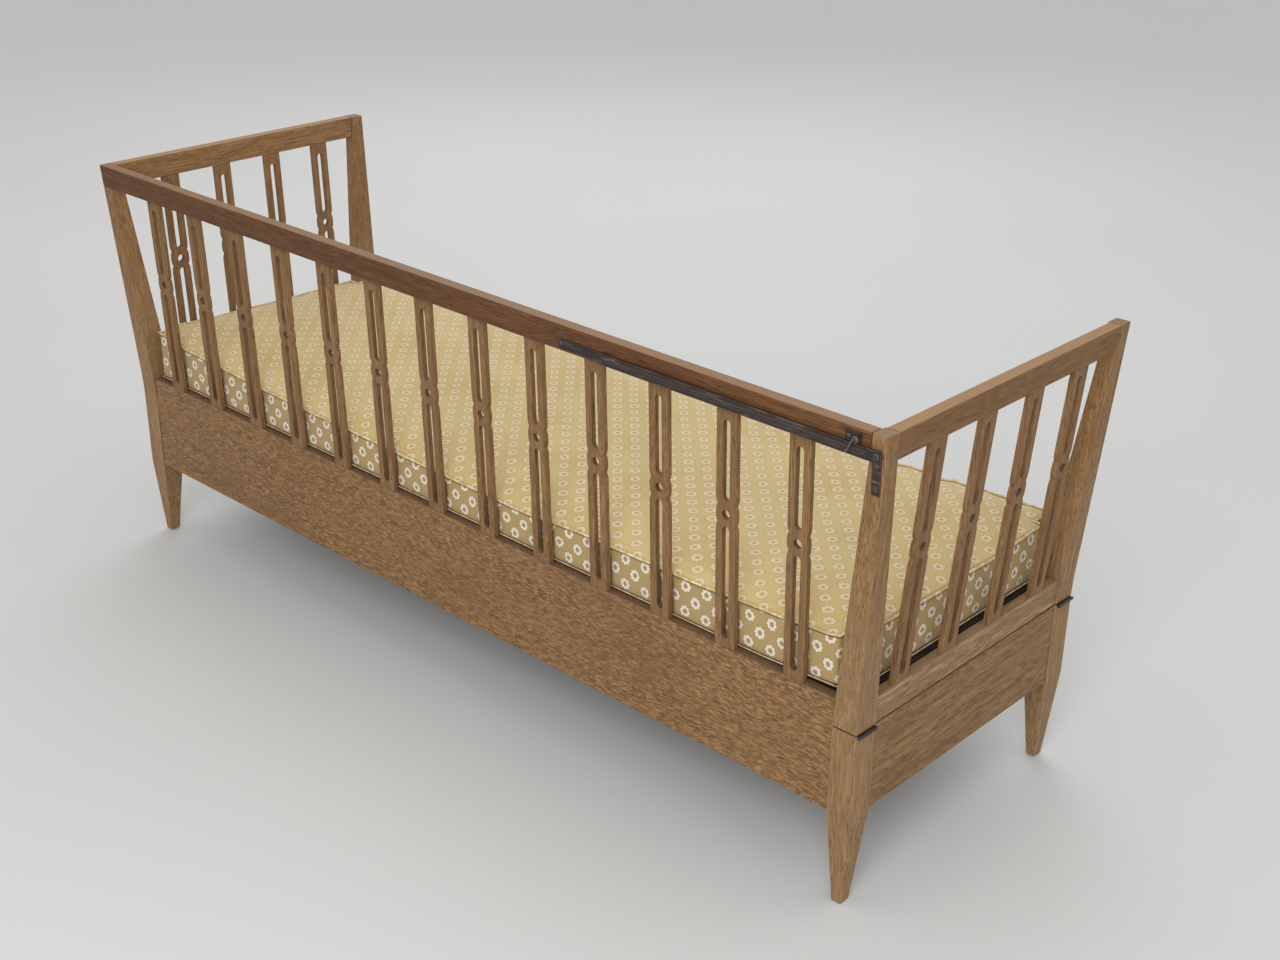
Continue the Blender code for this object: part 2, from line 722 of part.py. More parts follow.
def cut_corners(ends, sides, notch_x, notch_sides):
    """The plan of a rectangle whose four corners are cut back round the posts."""
    left, right = ends
    back, front = sides
    notch_back, notch_front = notch_sides
    return [
        (right, notch_front), (notch_x, notch_front), (notch_x, front),
        (-notch_x, front), (-notch_x, notch_front), (left, notch_front),
        (left, notch_back), (-notch_x, notch_back), (-notch_x, back),
        (notch_x, back), (notch_x, notch_back), (right, notch_back),
    ]


def mattress(fabric):
    """A box cushion whose corners are cut back round the four posts."""
    ends, sides = (MATTRESS_LEFT, MATTRESS_RIGHT), (MATTRESS_BACK, MATTRESS_FRONT)
    outline = cut_corners(ends, sides, POST_NOTCH_X, (POST_NOTCH_BACK, POST_NOTCH_FRONT))
    rings = [[(x, y, z) for x, y in outline] for z in (MATTRESS_BOTTOM, MATTRESS_TOP)]
    pad = loft("mattress", rings, fabric)
    ease_edges(pad, MATTRESS_EDGE)


# ---------------------------------------------------------------- assembly


def joint_empty(name, point):
    """An empty on a joint's axis that carries the pieces that turn there."""
    empty = bpy.data.objects.new(name, None)
    bpy.context.scene.collection.objects.link(empty)
    empty.location = point
    return empty


def hang(pieces, parent):
    """Parents the pieces, keeping them where they are."""
    bpy.context.view_layer.update()
    for piece in pieces:
        place = piece.matrix_world.copy()
        piece.parent = parent
        piece.matrix_parent_inverse = parent.matrix_world.inverted()
        piece.matrix_world = place


def centre_on_footprint():
    """Slides the whole bed so that its bounding box is centred over the origin."""
    bpy.context.view_layer.update()
    graph = bpy.context.evaluated_depsgraph_get()
    corners = []
    for made in bpy.data.objects:
        if made.type == "EMPTY" or made.hide_render:
            continue
        shape = made.evaluated_get(graph)
        corners += [shape.matrix_world @ Vector(corner) for corner in shape.bound_box]
    middle = [(min(c[i] for c in corners) + max(c[i] for c in corners)) / 2 for i in range(2)]
    for made in bpy.data.objects:
        if made.parent is None:
            made.location.x -= middle[0]
            made.location.y -= middle[1]
    bpy.context.view_layer.update()


def clear_scene():
    for made in list(bpy.data.objects):
        bpy.data.objects.remove(made)


def build():
    clear_scene()
    oak = principled("oak", (0.36, 0.22, 0.12), 0.55)
    dark_oak = principled("oak_rail", (0.27, 0.14, 0.075), 0.5)
    iron = principled("blackened_iron", (0.07, 0.06, 0.065), 0.45, 0.8)
    steel = principled("hinge_steel", (0.30, 0.28, 0.28), 0.4, 0.9)
    pine = principled("pine", (0.62, 0.47, 0.29), 0.65)
    fabric = principled("damask", (0.62, 0.50, 0.26), 0.8)

    end_posts = posts_and_legs(oak)
    end_bottom_rail = aprons(oak)
    back_rail, end_top_rail = top_rails(dark_oak)
    back_splats(oak)
    left_splats(oak)
    gallery_splats = end_splats(oak)
    upper_leaves = hinges(steel)
    strip = stay_strip(iron)
    bar = stay_bar(iron)
    rivet = stay_studs(iron, back_rail)
    bracket = stay_bracket(iron)
    catch_plate(iron)
    catch_hook(iron)
    bed_base(pine)
    mattress(fabric)

    strip_back = stay_layers()[0]
    gallery = joint_empty("end_gallery_axis", (HINGE_X, 0, HINGE_HEIGHT))
    stay = joint_empty("stay_axis", (STAY_PIVOT_X, strip_back, STAY_HEIGHT))
    folding = [*end_posts, end_bottom_rail, end_top_rail, *gallery_splats, *upper_leaves, bracket]
    hang(folding, gallery)
    hang([strip, bar, rivet], stay)
    centre_on_footprint()


build()
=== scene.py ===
"""Looks of the oak daybed with a folding end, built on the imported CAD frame.

Metres, +Z up, +X towards the folding end, -Y towards the long back gallery.
"""

import math

import bmesh
import bpy
import numpy as np
from mathutils import Matrix, Vector


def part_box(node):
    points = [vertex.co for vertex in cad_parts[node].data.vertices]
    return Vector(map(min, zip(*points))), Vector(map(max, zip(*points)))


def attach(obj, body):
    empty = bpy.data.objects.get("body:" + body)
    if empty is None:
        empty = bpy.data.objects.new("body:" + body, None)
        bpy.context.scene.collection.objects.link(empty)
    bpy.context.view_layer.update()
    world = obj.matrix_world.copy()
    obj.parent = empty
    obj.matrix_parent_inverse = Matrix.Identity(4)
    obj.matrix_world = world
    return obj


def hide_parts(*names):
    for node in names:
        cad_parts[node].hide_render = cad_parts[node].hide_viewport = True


# ---------------------------------------------------------- camera and lights

CAMERA_PLACE = (2.2258, -2.1469, 1.7785)
CAMERA_AZIMUTH = 0.7470
CAMERA_TILT = -0.4359
CAMERA_ROLL = 0.0154
CAMERA_LENS = 48.74
SENSOR_WIDTH = 36
FARTHEST_SEEN = 200

SKY_COLOUR = (1.0, 0.985, 0.955, 1)
SKY_STRENGTH = 0.71
# Name, place, diameter and power in watts of each lamp. All of them face LAMP_TARGET.
LAMPS = (
    ("key", (2.5, -3.4, 2.8), 2.6, 95),
    ("fill", (-2.5, 3.0, 3.4), 3.5, 40),
)
LAMP_TARGET = (0, 0, 0.4)
FLOOR_REACH = 40
FLOOR_DROP = 0.0006

# ------------------------------------------------------------------- cushion

# Its outline from above, with a notch at each corner for the post.
CUSHION_LEFT = -0.943
CUSHION_RIGHT = 0.936
CUSHION_BACK = -0.2837
CUSHION_FRONT = 0.3195
NOTCH_X = 0.914
NOTCH_BACK = -0.2425
NOTCH_FRONT = 0.2555

# Heights of the top seam along each side, at distances along X or Y.
BACK_SEAM = (
    (-0.95, 0.479), (-0.88, 0.478), (-0.80, 0.466), (-0.68, 0.461), (-0.54, 0.454), (-0.30, 0.450),
    (0.05, 0.444), (0.22, 0.442), (0.37, 0.451), (0.60, 0.453), (0.80, 0.461), (0.88, 0.468), (0.95, 0.478),
)
FRONT_SEAM = (
    (-0.95, 0.462), (-0.2, 0.459), (0.50, 0.460), (0.59, 0.457), (0.627, 0.462), (0.685, 0.458),
    (0.72, 0.465), (0.74, 0.463), (0.777, 0.466), (0.95, 0.470),
)
RIGHT_SEAM = (
    (-0.30, 0.475), (-0.20, 0.471), (-0.03, 0.467), (0.03, 0.4705), (0.10, 0.4686), (0.16, 0.4727),
    (0.23, 0.477), (0.32, 0.468),
)
LEFT_SEAM = ((-0.30, 0.476), (-0.1, 0.466), (0.1, 0.462), (0.32, 0.462))
SEAM_BLEND = 0.004

# The bottom seam, and how it lifts towards the back right corner.
CUSHION_FLOOR = 0.3787
CORNER_LIFT = 0.0065
CORNER_LIFT_START = 0.77
CORNER_LIFT_DEPTH = 0.05

CROWN = 0.007
HOLLOW = 0.0035
CUSHION_STEP = 0.0105
BAND_ROWS = 8
RELAX_ROUNDS = 900

TOP_CORD = 0.0026
BOTTOM_CORD = 0.0018
CORD_SIDES = 8
CORD_OUT = 0.0006
TOP_CORD_RISE = 0.0006
BOTTOM_CORD_RISE = -0.0002

# The cloth simulation, and the most that each part of the cushion may swell.
CLOTH_FRAMES = 20
CLOTH_PRESSURE = 4.0
CLOTH_STIFFNESS = 12
CLOTH_BENDING = 0.4
CLOTH_GROWTH = 0.012
MOST_SWELL = 0.012
MOST_SWELL_FRONT = 0.008
MOST_SWELL_ENDS = 0.005
MOST_SWELL_BACK = 0.0026
EDGE_MARGIN = 0.001

# Fabric: the spacing of its ring daisies, and the size of one.
DAISY_PITCH_U = 0.0448
DAISY_PITCH_V = 0.0465
DAISY_RADIUS = 0.0103
DAISY_HOLE = 0.0046
DAISY_BLUR = 0.0008
DAISY_WANDER = 0.005
HALF_PETALS = 4.0
SEAM_SHADE = 0.007

# ------------------------------------------------------- woods, irons, pieces

# How far oak's grain wanders, the width of a worn arris, and how far shade reaches in a slot.
OAK_SWAY = 0.05
ARRIS = 0.0014
SLOT_SHADE = 0.02

# Colour painted on the faces that point up, as painted sheen and shade from the light above, and how much
# of it they take.
SEAT_TOP = ((106, 84, 70), 0.65)
PALE_SHEEN_TOP = ((140, 116, 90), 0.6)
BRIGHT_TOP = ((168, 134, 98), 0.5)
SUNLIT_TOP = ((185, 148, 105), 0.5)

# Where the wood starts to grow paler and where it is palest, in metres down the grain, and the tint.
PALE_BELOW = (0.66, 0.46, (1.15, 1.24, 1.42))
PALE_RIGHT = (0.55, 0.93, (1.32, 1.42, 1.50))

# Starts of the pieces' names, and their oak, whose settings oak() explains.
OAKS = (
    (
        ("post_", "leg_", "end_post_"),
        dict(
            name="oak_upright", axis=2, tone=(149, 114, 74), flecks=0.08, figure=0.16, streaks=0.36,
            shortness=0.5, top=PALE_SHEEN_TOP, paling=PALE_BELOW,
        ),
    ),
    (
        ("splat_", "end_splat_"),
        dict(
            name="oak_splat", axis=2, tone=(142, 108, 71), flecks=0.08, figure=0.16, streaks=0.36,
            shortness=0.5,
        ),
    ),
    (
        ("apron_back", "apron_front"),
        dict(
            name="oak_apron_long", axis=0, tone=(132, 99, 63), flecks=1.0, figure=0.12, streaks=0.28,
            shortness=1.2, top=SEAT_TOP,
        ),
    ),
    (
        ("apron_left", "apron_right"),
        dict(
            name="oak_apron_short", axis=1, tone=(141, 107, 69), flecks=0.45, figure=0.55, streaks=0.55,
            shortness=0.7, top=SEAT_TOP,
        ),
    ),
    (
        ("end_rail_bottom",),
        dict(
            name="oak_low_rail", axis=1, tone=(157, 127, 91), flecks=0.25, figure=0.60, streaks=0.80,
            shortness=0.6, top=PALE_SHEEN_TOP,
        ),
    ),
    (
        ("rail_back_top",),
        dict(
            name="rail_long", axis=0, tone=(105, 68, 38), flecks=0.15, figure=0.25, streaks=0.45,
            shortness=0.6, top=BRIGHT_TOP, paling=PALE_RIGHT,
        ),
    ),
    (
        ("rail_left_top",),
        dict(
            name="rail_left", axis=1, tone=(149, 113, 75), flecks=0.15, figure=0.20, streaks=0.36,
            shortness=0.6, top=SUNLIT_TOP,
        ),
    ),
    (
        ("end_rail_top",),
        dict(
            name="rail_end", axis=1, tone=(135, 99, 61), flecks=0.15, figure=0.20, streaks=0.36,
            shortness=0.6, top=SUNLIT_TOP,
        ),
    ),
)
# Starts of the pieces' names, material, colour, colour where it is worn, roughness, strength of the wear.
IRONS = (
    (
        ("stay_strip", "stay_bar", "stay_bracket", "catch_plate"),
        "black_iron", (68, 57, 54), (150, 136, 126), 0.42, 0.5,
    ),
    (("catch_hook",), "wire_iron", (92, 92, 86), (160, 160, 150), 0.38, 0.5),
    (("stay_pivot_screw", "stay_rivet"), "screw_iron", (70, 66, 68), (168, 164, 160), 0.36, 0.7),
    (("hinge_",), "hinge_iron", (72, 64, 66), (128, 118, 116), 0.42, 0.5),
)
# Starts of the pieces' names, material, colour, colour of its rings.
SOFTWOODS = (
    (("ledger_",), "base_pine", (203, 168, 122), (162, 120, 76)),
    # The base board is painted near black as painted shade, so that the gap under the cushion reads dark.
    (("base_board",), "base_shadow_dark", (46, 36, 30), (30, 24, 21)),
)

# -------------------------------------------------------------------- screws

# The galleries lean: this much along Y for each metre of height.
GALLERY_LEAN = 0.0533
BRACKET_SCREW_RADIUS = 0.0042
# Name, height and turn of each screw in the bracket.
BRACKET_SCREWS = (
    ("bracket_screw_upper", 0.7905, 0.6),
    ("bracket_screw_lower", 0.754, 1.9),
)
BRACKET_SCREW_GAP = 0.0002
CATCH_SCREW_RADIUS = 0.0038
CATCH_SCREW_X = 0.9365
CATCH_SCREW_HEIGHT = 0.8237
CATCH_SCREW_TURN = 0.4
# From the outer end of the pivot screw's head back to the face of the catch plate.
CATCH_PLATE_DEPTH = 0.0014
# Distance from the axis and height of the head's profile, in radii.
HEAD_PROFILE = ((1.0, 0.0), (1.0, 0.12), (0.92, 0.30), (0.70, 0.42), (0.40, 0.50), (0.0, 0.52))
HEAD_STEPS = 28
SLOT_SIZE = (2.4, 0.26, 0.5)
SLOT_HEIGHT = 0.45

# ------------------------------------------------------------------ materials


def linear(red, green, blue):
    """Scene-linear colour of an 8-bit sRGB one."""
    shares = [value / 255 for value in (red, green, blue)]
    return tuple(s / 12.92 if s <= 0.04045 else ((s + 0.055) / 1.055) ** 2.4 for s in shares)


class Graph:
    """A material, with short calls to build its nodes."""

    def __init__(self, name):
        self.material = bpy.data.materials.new(name)
        self.material.use_nodes = True
        self.tree = self.material.node_tree
        self.shader = self.tree.nodes["Principled BSDF"]
        self.place = self.node("ShaderNodeTexCoord").outputs["Object"]

    def node(self, kind, **settings):
        made = self.tree.nodes.new(kind)
        for key, value in settings.items():
            setattr(made, key, value)
        return made

    def feed(self, socket, value):
        """Links the value if it is a socket, and sets it if it isn't."""
        if isinstance(value, bpy.types.NodeSocket):
            self.tree.links.new(value, socket)
        elif isinstance(value, (int, float)):
            socket.default_value = value
        else:
            wanted = len(socket.default_value)
            socket.default_value = (*value, 1)[:wanted]

    def math(self, operation, first, second=0.0, third=0.0):
        made = self.node("ShaderNodeMath", operation=operation)
        for socket, value in zip(made.inputs, (first, second, third)):
            self.feed(socket, value)
        return made.outputs[0]

    def vector(self, operation, first, second=(0, 0, 0)):
        made = self.node("ShaderNodeVectorMath", operation=operation)
        self.feed(made.inputs[0], first)
        self.feed(made.inputs[1], second)
        return made.outputs["Value"] if operation in ("LENGTH", "DOT_PRODUCT") else made.outputs["Vector"]

    def noise(self, place, detail=2.0, roughness=0.5):
        made = self.node("ShaderNodeTexNoise")
        self.feed(made.inputs["Vector"], place)
        self.feed(made.inputs["Scale"], 1.0)
        self.feed(made.inputs["Detail"], detail)
        self.feed(made.inputs["Roughness"], roughness)
        return made.outputs["Fac"]

    def step(self, value, low, high, first=0.0, last=1.0):
        """A smooth step from first to last as value goes from low to high."""
        made = self.node("ShaderNodeMapRange", interpolation_type="SMOOTHSTEP")
        for socket, given in zip(made.inputs, (value, low, high, first, last)):
            self.feed(socket, given)
        return made.outputs["Result"]

    def mix(self, share, first, second):
        made = self.node("ShaderNodeMix", data_type="RGBA")
        sockets = [s for s in made.inputs if s.type == "RGBA"]
        self.feed(made.inputs["Factor"], share)
        self.feed(sockets[0], first)
        self.feed(sockets[1], second)
        return [s for s in made.outputs if s.type == "RGBA"][0]

    def mix_vector(self, share, first, second):
        made = self.node("ShaderNodeMix", data_type="VECTOR")
        sockets = [s for s in made.inputs if s.type == "VECTOR"]
        self.feed(made.inputs["Factor"], share)
        self.feed(sockets[-2], first)
        self.feed(sockets[-1], second)
        return [s for s in made.outputs if s.type == "VECTOR"][0]

    def layered(self, colour, *layers):
        """Lays colours over one another, each as (mask, strength, colour)."""
        for mask, strength, above in layers:
            colour = self.mix(self.math("MULTIPLY", mask, strength), colour, above)
        return colour

    def upwards(self):
        """1 on a face that points straight up, 0 on an upright one."""
        return self.split(self.node("ShaderNodeTexCoord").outputs["Normal"])[2]

    def across(self, value, axis):
        """A vector of one value, with nothing down the grain's axis."""
        made = self.node("ShaderNodeCombineXYZ")
        for i in range(3):
            if i != axis:
                self.feed(made.inputs[i], value)
        return made.outputs[0]

    def split(self, vector):
        made = self.node("ShaderNodeSeparateXYZ")
        self.feed(made.inputs[0], vector)
        return made.outputs

    def worn_edge(self, radius):
        """1 on an arris and 0 on a flat face."""
        bevel = self.node("ShaderNodeBevel", samples=4)
        bevel.inputs["Radius"].default_value = radius
        normal = self.node("ShaderNodeNewGeometry").outputs["Normal"]
        same = self.vector("DOT_PRODUCT", bevel.outputs["Normal"], normal)
        return self.step(same, 0.995, 0.90)

    def shade(self, distance, alone, open_above, shut_below):
        """1 in a hollow and 0 out in the open. alone leaves out the shade of other pieces."""
        made = self.node("ShaderNodeAmbientOcclusion", samples=6, only_local=alone)
        made.inputs["Distance"].default_value = distance
        return self.step(made.outputs["AO"], open_above, shut_below)

    def surface(self, colour, roughness):
        self.feed(self.shader.inputs["Base Color"], colour)
        self.feed(self.shader.inputs["Roughness"], roughness)

    def bump(self, height, strength, distance):
        made = self.node("ShaderNodeBump")
        made.inputs["Strength"].default_value = strength
        made.inputs["Distance"].default_value = distance
        self.feed(made.inputs["Height"], height)
        self.feed(self.shader.inputs["Normal"], made.outputs["Normal"])


def stretched(g, axis, across, along, place=None):
    """Coordinates whose noise is 1/across wide and 1/along long down the grain."""
    scale = [across, across, across]
    scale[axis] = along
    return g.vector("MULTIPLY", place or g.place, scale)


def tinted(colour, *shares):
    """A colour with its red, green and blue scaled."""
    return tuple(min(1.0, c * s) for c, s in zip(colour, shares))


def growth_lines(g, axis, place, width, length, count):
    """Curved growth rings: 1 at a ring's dark edge, fading to 0 before the next."""
    hill = g.noise(stretched(g, axis, width, length, place), detail=1)
    ring = g.math("FRACT", g.math("MULTIPLY", hill, count))
    return g.step(ring, 0.0, 0.55, 1.0, 0.0)


def swaying(g, axis):
    """Coordinates that wander a little across the grain."""
    sway = g.noise(stretched(g, axis, 9, 2.2), detail=1)
    shift = g.math("MULTIPLY", g.math("SUBTRACT", sway, 0.5), OAK_SWAY)
    return g.vector("ADD", g.place, g.across(shift, axis))


def oak_marks(g, axis, shortness):
    """The noises that draw the wood, by name."""
    at = swaying(g, axis)
    return {
        "broad": g.noise(stretched(g, axis, 55, 2.5, at), detail=2),
        "streak": g.noise(stretched(g, axis, 230, 5 * shortness, at), detail=3, roughness=0.6),
        "fine": g.noise(stretched(g, axis, 720, 18 * shortness, at), detail=2, roughness=0.6),
        "pore": g.noise(stretched(g, axis, 760, 42 * shortness, at), detail=1),
        "ray": g.noise(stretched(g, axis, 600, 58 * shortness, at), detail=1),
        "patch": g.noise(stretched(g, axis, 7, 3), detail=2),
        "rubbed": g.noise(stretched(g, axis, 60, 30), detail=2),
        "rings": growth_lines(g, axis, at, 13, 1.3, 15),
        "thin_rings": growth_lines(g, axis, at, 30, 2.0, 11),
    }


def paled_with_top_sheen(g, colour, axis, top, paling):
    """The colour grown paler along the grain's axis, with painted sheen and shade on faces pointing up."""
    if paling is not None:
        start, end, tint = paling
        # The wood grows paler along the grain's axis, towards the given end.
        share = g.step(g.split(g.place)[axis], start, end)
        colour = g.mix(share, colour, g.vector("MULTIPLY", colour, tint))
    if top is not None:
        shade, strength = top
        # Painted sheen and shade on the faces that point up.
        colour = g.layered(colour, (g.step(g.upwards(), 0.7, 0.95), strength, linear(*shade)))
    return colour


def oak(name, axis, tone, flecks, figure, streaks, shortness, top=None, paling=None):
    """Waxed oak with its grain down one axis: growth rings, streaks, pores and ray flecks.

    tone is the wood's 8-bit sRGB colour. flecks, figure and streaks are the strengths
    of the ray flecks, the growth rings and the streaks. shortness shortens the marks
    down the grain. top is the colour painted on faces pointing up as painted sheen and
    shade, and how much of it. The last argument is the stretch of the grain's axis over
    which the wood grows paler, and the tint that it ends with.
    """
    tone = linear(*tone)
    dark = tinted(tone, 0.56, 0.52, 0.48)
    light = tinted(tone, 1.62, 1.68, 1.76)
    g = Graph(name)
    marks = oak_marks(g, axis, shortness)
    colour = g.layered(
        g.mix(g.step(marks["broad"], 0.36, 0.64), tinted(tone, 0.86, 0.84, 0.82), tone),
        (marks["rings"], figure, dark),
        (marks["thin_rings"], figure * 0.45, dark),
        (g.step(marks["streak"], 0.50, 0.38), streaks, dark),
        (g.step(marks["streak"], 0.52, 0.64), streaks * 0.9, light),
        (g.step(marks["fine"], 0.50, 0.40), 0.75, dark),
        (g.step(marks["ray"], 0.50, 0.60), flecks, light),
        (g.step(marks["pore"], 0.42, 0.33), 0.8, tinted(dark, 0.5, 0.48, 0.46)),
        (g.step(marks["patch"], 0.48, 0.72), 0.35, tinted(tone, 0.70, 0.66, 0.64)),
    )
    colour = paled_with_top_sheen(g, colour, axis, top, paling)
    rubbed = g.step(marks["rubbed"], 0.45, 0.65)
    colour = g.layered(
        colour,
        (g.math("MULTIPLY", g.worn_edge(ARRIS), rubbed), 0.3, light),
        (g.shade(SLOT_SHADE, True, 0.70, 0.40), 0.95, tinted(dark, 0.06, 0.05, 0.05)),
    )
    g.surface(colour, g.step(marks["fine"], 0.3, 0.7, 0.52, 0.66))
    g.shader.inputs["Specular IOR Level"].default_value = 0.30
    grain = g.math("MULTIPLY", marks["fine"], 0.5)
    relief = g.math("ADD", grain, g.step(marks["pore"], 0.28, 0.42))
    g.bump(relief, 0.35, 0.0004)
    return g.material


def iron(name, base, worn, roughness, wear):
    """Blackened iron, rubbed brighter in patches, and brighter on its edges as wear and as a painted
    highlight.
    """
    g = Graph(name)
    rub = g.noise(stretched(g, 0, 160, 22), detail=4, roughness=0.65)
    grain = g.noise(g.vector("MULTIPLY", g.place, (900, 900, 900)), detail=3)
    patches = g.math("MULTIPLY", g.step(rub, 0.50, 0.75), wear)
    # Edges lightened as wear and as a painted highlight.
    edges = g.math("MULTIPLY", g.worn_edge(0.0012), 0.65)
    share = g.math("MAXIMUM", patches, edges)
    g.surface(g.mix(share, base, worn), g.step(rub, 0.3, 0.7, roughness + 0.12, roughness - 0.08))
    g.shader.inputs["Metallic"].default_value = 0.75
    g.bump(grain, 0.35, 0.0003)
    return g.material


def softwood(name, pale, ringed):
    """Planed softwood with broad soft rings, for the hidden base."""
    g = Graph(name)
    ring = g.noise(stretched(g, 0, 45, 1.5), detail=3)
    fine = g.noise(stretched(g, 0, 500, 12), detail=2)
    colour = g.layered(
        g.mix(g.step(ring, 0.40, 0.62), pale, ringed),
        (g.step(fine, 0.5, 0.7), 0.4, tinted(ringed, 0.8, 0.78, 0.75)),
    )
    g.surface(colour, g.step(fine, 0.3, 0.7, 0.6, 0.75))
    g.bump(fine, 0.3, 0.0004)
    return g.material


def daisy_place(g, at):
    """The offset in metres from the nearest daisy's middle; they stand like bricks."""
    pitch = (DAISY_PITCH_U, DAISY_PITCH_V, 1)
    cells = g.vector("DIVIDE", at, pitch)
    spots = []
    for start in ((0.0, 0.0, 0.0), (0.5, 0.5, 0.0)):
        inside = g.vector("FRACTION", g.vector("ADD", cells, start))
        spots.append(g.vector("MULTIPLY", g.vector("SUBTRACT", inside, (0.5, 0.5, 0)), pitch))
    flat = [g.vector("MULTIPLY", spot, (1, 1, 0)) for spot in spots]
    nearer = g.math("LESS_THAN", g.vector("LENGTH", flat[0]), g.vector("LENGTH", flat[1]))
    return g.mix_vector(nearer, flat[1], flat[0])


def daisy_masks(g, at):
    """(ring of petals, heart, outline) of the nearest daisy, each from 0 to 1."""
    spot = daisy_place(g, at)
    x, y = g.split(spot)[:2]
    radius = g.vector("LENGTH", spot)
    angle = g.math("ARCTAN2", y, x)
    lobe = g.math("ABSOLUTE", g.math("COSINE", g.math("MULTIPLY", angle, HALF_PETALS)))
    edge = g.math("MULTIPLY_ADD", g.math("POWER", lobe, 0.6), DAISY_RADIUS * 0.34, DAISY_RADIUS * 0.70)
    past = g.math("SUBTRACT", radius, edge)
    outside_hole = g.step(radius, DAISY_HOLE - DAISY_BLUR, DAISY_HOLE + DAISY_BLUR)
    petals = g.math("MULTIPLY", g.step(past, 0.0006, -0.0006), outside_hole)
    heart = g.step(radius, 0.0040, 0.0026)
    rim = g.math("MULTIPLY", g.step(past, 0.0022, 0.0004), g.step(past, -0.0008, 0.0004))
    return petals, heart, rim


def wandering(g, at):
    """Cloth coordinates that shift a little, so that the daisies aren't in dead straight rows."""
    wander = g.noise(g.vector("MULTIPLY", at, (45, 45, 1)), detail=1)
    nudge = g.math("MULTIPLY", g.math("SUBTRACT", wander, 0.5), DAISY_WANDER)
    return g.vector("ADD", at, g.across(nudge, 2))


def damask(name):
    """Gold satin weave with white ring daisies, with painted sheen that makes it paler and softer where it
    faces up.
    """
    g = Graph(name)
    at = g.node("ShaderNodeUVMap", uv_map="cloth").outputs["UV"]
    petals, heart, rim = daisy_masks(g, wandering(g, at))
    threads = g.noise(g.vector("MULTIPLY", at, (900, 2600, 1)), detail=1)
    slubs = g.noise(g.vector("MULTIPLY", at, (60, 900, 1)), detail=2)
    cloud = g.noise(g.vector("MULTIPLY", g.place, (6, 9, 9)), detail=3)
    # Painted sheen: faces pointing up get a paler ground, creamier daisies and softer contrast.
    up = g.step(g.upwards(), 0.25, 0.85)
    silk = g.mix(up, linear(228, 218, 200), linear(230, 210, 178))
    colour = g.layered(
        g.mix(up, linear(170, 147, 104), linear(213, 191, 134)),
        (g.step(cloud, 0.35, 0.7), 0.30, linear(182, 150, 88)),
        (g.step(threads, 0.35, 0.7), 0.22, linear(150, 122, 68)),
        (g.step(slubs, 0.5, 0.75), 0.18, linear(222, 200, 146)),
        (rim, 0.35, linear(128, 100, 52)),
        (petals, g.step(up, 0, 1, 0.95, 0.75), silk),
        (heart, g.step(up, 0, 1, 0.75, 0.35), linear(146, 136, 108)),
        (g.shade(SEAM_SHADE, False, 0.90, 0.55), 0.7, linear(92, 68, 36)),
    )
    g.surface(colour, g.math("MULTIPLY_ADD", petals, -0.12, 0.74))
    g.shader.inputs["Sheen Weight"].default_value = 0.18
    g.shader.inputs["Sheen Roughness"].default_value = 0.45
    g.shader.inputs["Specular IOR Level"].default_value = 0.25
    relief = g.math("MULTIPLY_ADD", petals, 0.9, g.math("MULTIPLY", threads, 0.45))
    g.bump(relief, 0.40, 0.0003)
    return g.material


def piping_cloth(name, shade_up_to):
    """The same gold cloth, cut on the bias round a cord: pale above, with painted shade below.

    Where a face points up by less than the given threshold, the painted shade starts.
    """
    g = Graph(name)
    rub = g.noise(g.vector("MULTIPLY", g.place, (90, 90, 90)), detail=2)
    rib = g.noise(g.vector("MULTIPLY", g.place, (900, 900, 2200)), detail=1)
    # Painted shade: faces that point sideways or down are painted dark brown.
    painted_shade = g.step(g.upwards(), shade_up_to, shade_up_to - 0.4)
    colour = g.layered(
        g.mix(g.step(rub, 0.40, 0.65), linear(200, 176, 122), linear(234, 218, 176)),
        (g.step(rib, 0.4, 0.7), 0.2, linear(128, 102, 58)),
        (painted_shade, 1.0, linear(92, 66, 36)),
    )
    g.surface(colour, g.step(rib, 0.3, 0.7, 0.68, 0.82))
    g.bump(rib, 0.35, 0.0003)
    return g.material


def pale_floor(name):
    g = Graph(name)
    cloud = g.noise(g.vector("MULTIPLY", g.place, (0.7, 0.7, 0.7)), detail=2)
    colour = g.mix(cloud, linear(210, 212, 213), linear(218, 220, 221))
    g.surface(colour, g.step(cloud, 0.3, 0.7, 0.55, 0.65))
    return g.material


# ----------------------------------------------------------------- mesh tools


def new_object(name, mesh, material):
    mesh.materials.append(material)
    made = bpy.data.objects.new(name, mesh)
    bpy.context.scene.collection.objects.link(made)
    return made


def from_lists(name, points, faces, material):
    mesh = bpy.data.meshes.new(name)
    mesh.from_pydata(points, [], faces)
    mesh.update()
    mesh.shade_smooth()
    return new_object(name, mesh, material)


def along_profile(points, at):
    """Height between the points of a profile, eased so that it has no corners."""
    for (x0, h0), (x1, h1) in zip(points, points[1:]):
        if at <= x1:
            share = min(1, max(0, (at - x0) / (x1 - x0)))
            return h0 + (h1 - h0) * (share * share * (3 - 2 * share))
    return points[-1][1]


# ------------------------------------------------------------------- cushion


def line(low, high, stops, step):
    """Values from low to high about a step apart that include every stop."""
    marks = sorted({low, high, *stops})
    values = [marks[0]]
    for start, end in zip(marks, marks[1:]):
        count = max(1, round((end - start) / step))
        values += [start + (end - start) * (i + 1) / count for i in range(count)]
    return values


def in_outline(x, y):
    """Whether a point lies in the cushion's plan, whose corners are cut back."""
    return abs(x) < NOTCH_X or NOTCH_BACK < y < NOTCH_FRONT


